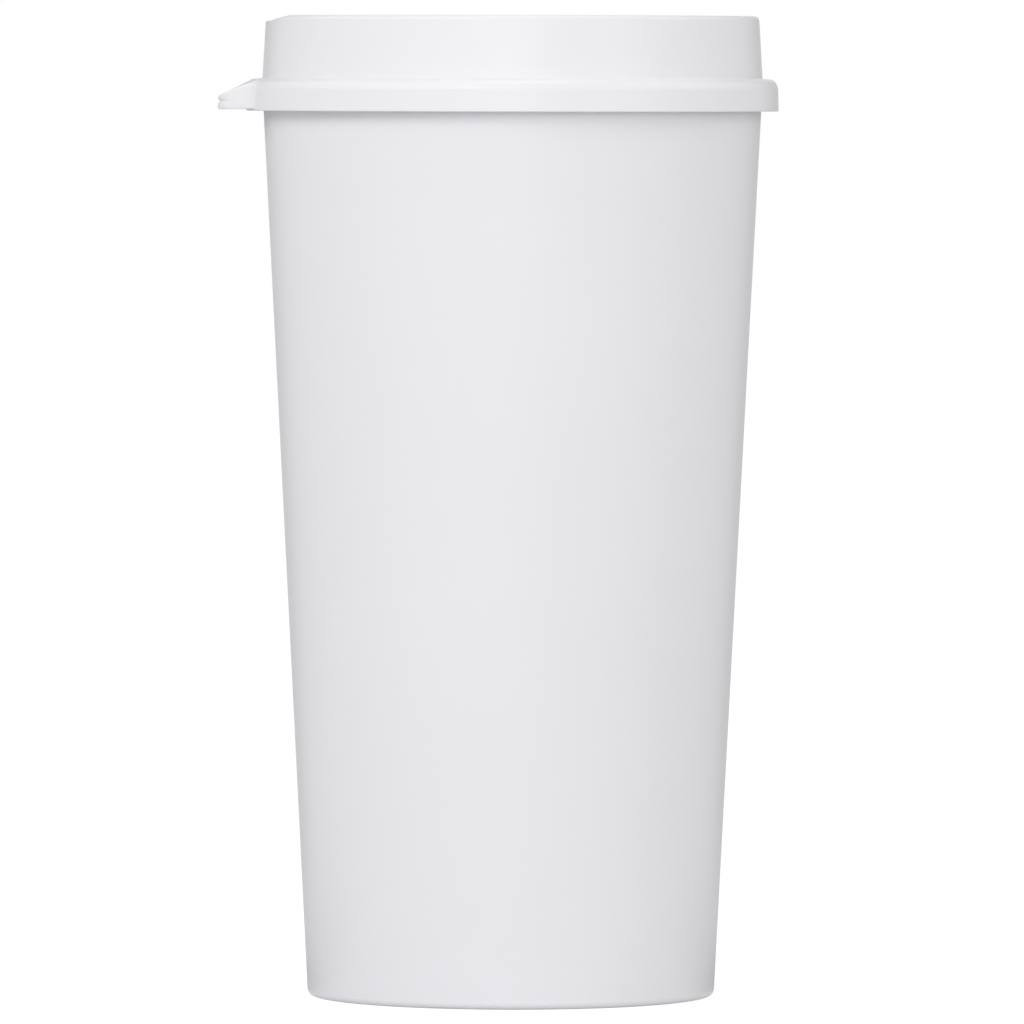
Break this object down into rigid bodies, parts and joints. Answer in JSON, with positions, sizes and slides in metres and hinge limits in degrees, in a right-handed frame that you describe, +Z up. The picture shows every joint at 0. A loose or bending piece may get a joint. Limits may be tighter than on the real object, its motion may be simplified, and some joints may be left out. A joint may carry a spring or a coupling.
{
  "type": "travel tumbler",
  "caption": "Tapered plastic drinking tumbler with a press-on sip lid: tall round crown with a dipped drinking edge, wide skirt and a pull tab.",
  "frame": {"origin": "middle of the base, on the plane that the cup's foot ring stands on", "axes": "+Z up along the cup's axis; the pull tab and the drinking edge face -X; +Y runs across the front"},
  "size_m": [0.0971, 0.0924, 0.1702],
  "materials": {
    "cup_plastic": "satin moulded polypropylene, cool white",
    "lid_plastic": "satin moulded polypropylene, neutral white"
  },
  "bodies": {
    "cup": {"cup": "cup_plastic"},
    "lid": {"lid": "lid_plastic"}
  },
  "joints": [
    {"name": "lid_lift", "type": "slide", "parent": "cup", "child": "lid", "axis": [0, 0, 1], "range_m": [0, 0.04]}
  ]
}
